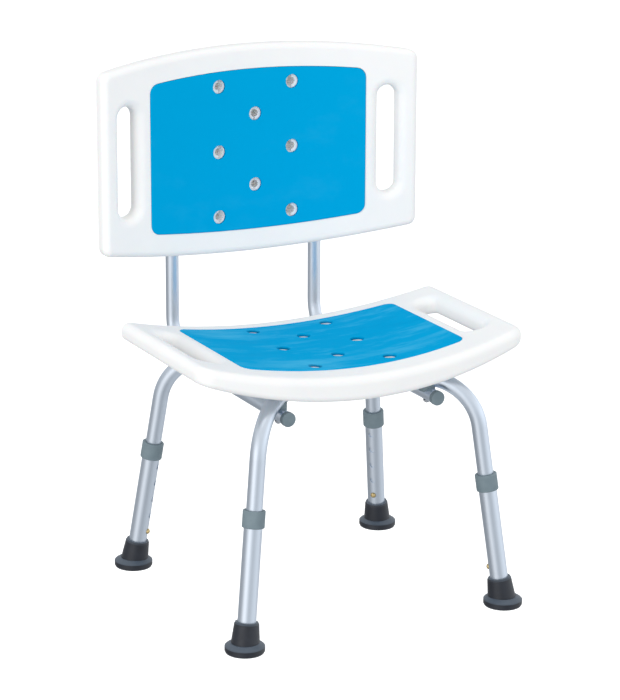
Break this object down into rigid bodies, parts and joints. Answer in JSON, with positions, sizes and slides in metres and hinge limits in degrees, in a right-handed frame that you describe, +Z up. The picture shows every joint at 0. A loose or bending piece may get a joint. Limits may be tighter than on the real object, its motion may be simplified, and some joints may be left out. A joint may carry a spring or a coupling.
{
  "type": "shower chair",
  "caption": "Shower chair with curved, padded plastic seat and backrest on a crossed tube frame with telescopic legs and rubber feet.",
  "frame": {"origin": "on the floor, in the middle of the whole chair's width and depth", "axes": "+Z up, +Y towards the back of the chair, +X towards the right-hand side as seen from the front"},
  "size_m": [0.503, 0.4666, 0.7478],
  "materials": {
    "white_hdpe": "blow-moulded HDPE, fine satin grain",
    "blue_eva": "closed-cell EVA foam, soft satin skin",
    "aluminium": "satin anodised tube",
    "grey_plastic": "moulded, matt",
    "black_rubber": "moulded, matt",
    "brass": "plain",
    "steel": "zinc plated"
  },
  "bodies": {
    "chair": {"seat_panel": "white_hdpe", "backrest_panel": "white_hdpe", "seat_pad": "blue_eva", "backrest_pad": "blue_eva", "frame_tube_a": "aluminium", "frame_tube_b": "aluminium", "seat_bolts": "steel", "centre_bolt": "steel", "seat_inserts": "brass", "backrest_screws": "steel", "back_tube_left": "aluminium", "back_tube_cap_left": "grey_plastic", "back_tube_right": "aluminium", "back_tube_cap_right": "grey_plastic", "tube_saddle_front_left": "grey_plastic", "spring_clip_front_left": "steel", "tube_saddle_front_right": "grey_plastic", "spring_clip_front_right": "steel", "tube_saddle_back_right": "grey_plastic", "spring_clip_back_right": "steel", "tube_saddle_back_left": "grey_plastic", "spring_clip_back_left": "steel"},
    "leg_front_left": {"lower_tube_front_left": "aluminium", "leg_collar_front_left": "grey_plastic", "foot_tip_front_left": "black_rubber", "foot_washer_front_left": "steel"},
    "button_front_left": {"leg_button_front_left": "brass"},
    "leg_front_right": {"lower_tube_front_right": "aluminium", "leg_collar_front_right": "grey_plastic", "foot_tip_front_right": "black_rubber", "foot_washer_front_right": "steel"},
    "button_front_right": {"leg_button_front_right": "brass"},
    "leg_back_right": {"lower_tube_back_right": "aluminium", "leg_collar_back_right": "grey_plastic", "foot_tip_back_right": "black_rubber", "foot_washer_back_right": "steel"},
    "button_back_right": {"leg_button_back_right": "brass"},
    "leg_back_left": {"lower_tube_back_left": "aluminium", "leg_collar_back_left": "grey_plastic", "foot_tip_back_left": "black_rubber", "foot_washer_back_left": "steel"},
    "button_back_left": {"leg_button_back_left": "brass"}
  },
  "joints": [
    {"name": "leg_slide_front_left", "type": "slide", "parent": "chair", "child": "leg_front_left", "axis": [-0.1167, -0.1054, -0.9876], "range_m": [0, 0.1016], "deforming": ["leg_button_front_left"]},
    {"name": "button_press_front_left", "type": "slide", "parent": "chair", "child": "button_front_left", "axis": [-0.733, -0.6618, 0.1573], "range_m": [0, 0.005], "stiffness_N_per_m": 1200, "springref_m": -0.001, "deforming": ["spring_clip_front_left"]},
    {"name": "leg_slide_front_right", "type": "slide", "parent": "chair", "child": "leg_front_right", "axis": [0.1167, -0.1054, -0.9876], "range_m": [0, 0.1016], "deforming": ["leg_button_front_right"]},
    {"name": "button_press_front_right", "type": "slide", "parent": "chair", "child": "button_front_right", "axis": [0.733, -0.6618, 0.1573], "range_m": [0, 0.005], "stiffness_N_per_m": 1200, "springref_m": -0.001, "deforming": ["spring_clip_front_right"]},
    {"name": "leg_slide_back_right", "type": "slide", "parent": "chair", "child": "leg_back_right", "axis": [0.1167, 0.1054, -0.9876], "range_m": [0, 0.1016], "deforming": ["leg_button_back_right"]},
    {"name": "button_press_back_right", "type": "slide", "parent": "chair", "child": "button_back_right", "axis": [0.733, 0.6618, 0.1573], "range_m": [0, 0.005], "stiffness_N_per_m": 1200, "springref_m": -0.001, "deforming": ["spring_clip_back_right"]},
    {"name": "leg_slide_back_left", "type": "slide", "parent": "chair", "child": "leg_back_left", "axis": [-0.1167, 0.1054, -0.9876], "range_m": [0, 0.1016], "deforming": ["leg_button_back_left"]},
    {"name": "button_press_back_left", "type": "slide", "parent": "chair", "child": "button_back_left", "axis": [-0.733, 0.6618, 0.1573], "range_m": [0, 0.005], "stiffness_N_per_m": 1200, "springref_m": -0.001, "deforming": ["spring_clip_back_left"]}
  ]
}
